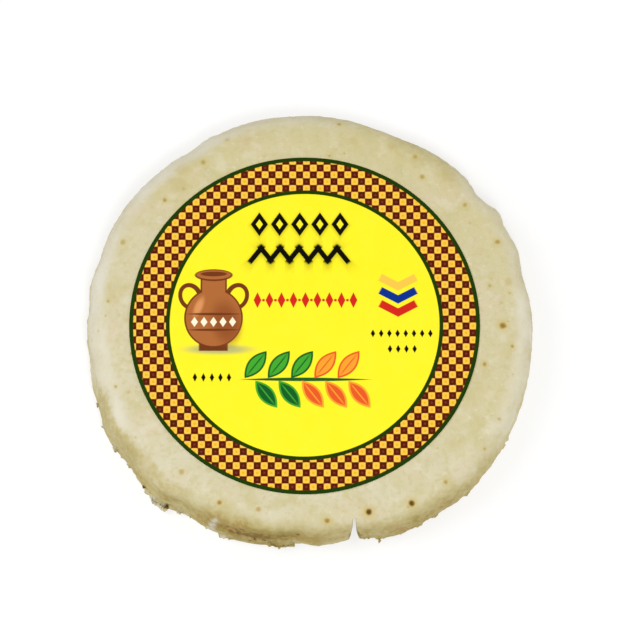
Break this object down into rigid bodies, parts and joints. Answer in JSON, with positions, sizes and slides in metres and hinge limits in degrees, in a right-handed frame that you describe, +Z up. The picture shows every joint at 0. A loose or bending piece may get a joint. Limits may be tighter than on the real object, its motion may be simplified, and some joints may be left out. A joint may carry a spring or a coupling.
{
  "type": "arepa with a paper label",
  "caption": "Round flat griddle cake of pale dough with a rolled shoulder, a crumbly toasted side and a split in the rim, and a round printed paper label lying on its top.",
  "frame": {"origin": "middle of the cake's base, on the surface it lies on", "axes": "+Z up through the cake, -Y to the front where the rim is split, +X to the right"},
  "size_m": [0.1082, 0.1068, 0.0135],
  "materials": {
    "baked_dough": "matt, pale cream dough with faint olive mottling, brown husk specks and a toasted, crumbly side",
    "printed_paper": "smooth coated paper printed with a yellow disc, a brown and gold checker border and dark green rings"
  },
  "bodies": {
    "root": {"arepa": "baked_dough", "label": "printed_paper"}
  },
  "joints": []
}
